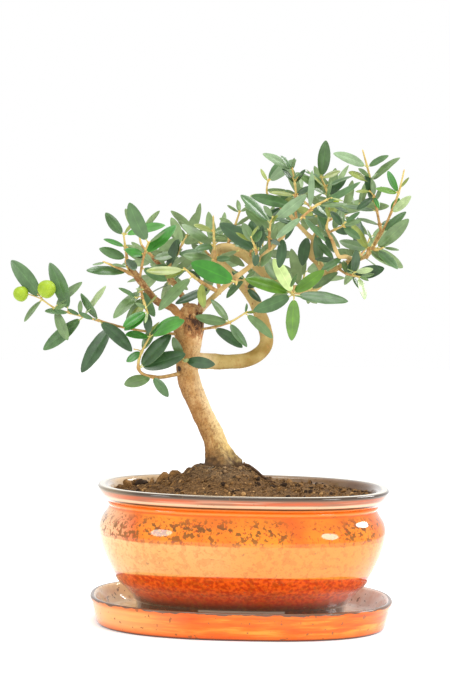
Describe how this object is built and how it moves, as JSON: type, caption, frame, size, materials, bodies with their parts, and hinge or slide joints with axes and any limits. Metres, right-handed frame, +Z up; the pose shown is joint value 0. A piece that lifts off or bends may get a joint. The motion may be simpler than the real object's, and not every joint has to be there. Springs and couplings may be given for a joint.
{
  "type": "olive bonsai",
  "caption": "Young olive tree with a curved trunk and sweeping boughs, grown as a bonsai in a glazed oval pot of soil on its matching drip tray",
  "frame": {"origin": "centre of the drip tray's flat underside", "axes": "+X to the right along the pot's length as seen from the front, +Y away from the front, +Z up"},
  "size_m": [0.2526, 0.1568, 0.3101],
  "materials": {
    "pot_glaze": "glossy orange glaze in bands",
    "tray_glaze": "glossy orange glaze",
    "soil": "matt crumbly potting soil",
    "bark": "matt bark",
    "foliage": "satin grey-green leaves, paler below"
  },
  "bodies": {
    "root": {"drip_tray": "tray_glaze", "pot": "pot_glaze", "soil": "soil", "trunk": "bark", "low_bough": "bark", "rising_bough": "bark", "turning_bough": "bark", "crossing_bough": "bark", "elbow_bough": "bark", "leader": "bark", "right_bough": "bark", "upper_left_bough": "bark", "right_stub": "bark", "front_bough": "bark", "left_bough": "bark", "rear_bough": "bark", "brown_stub": "bark", "far_left_foliage": "foliage", "low_left_foliage": "foliage", "fork_foliage": "foliage", "front_left_foliage": "foliage", "left_tip_foliage": "foliage", "left_rising_foliage": "foliage", "left_outer_foliage": "foliage", "left_crown_foliage": "foliage", "left_upper_foliage": "foliage", "middle_left_foliage": "foliage", "middle_foliage": "foliage", "front_low_foliage": "foliage", "front_middle_foliage": "foliage", "middle_top_foliage": "foliage", "front_tip_foliage": "foliage", "star_foliage": "foliage", "low_right_foliage": "foliage", "arch_top_foliage": "foliage", "arch_front_foliage": "foliage", "leader_top_foliage": "foliage", "upper_left_foliage": "foliage", "upper_front_foliage": "foliage", "right_upper_foliage": "foliage", "right_outer_foliage": "foliage", "right_low_foliage": "foliage", "right_under_foliage": "foliage", "right_middle_foliage": "foliage", "stub_tip_foliage": "foliage", "back_leader_foliage": "foliage", "back_arch_foliage": "foliage", "back_right_foliage": "foliage", "back_left_foliage": "foliage", "back_middle_foliage": "foliage", "back_top_foliage": "foliage", "back_low_foliage": "foliage", "centre_foliage": "foliage"}
  },
  "joints": []
}
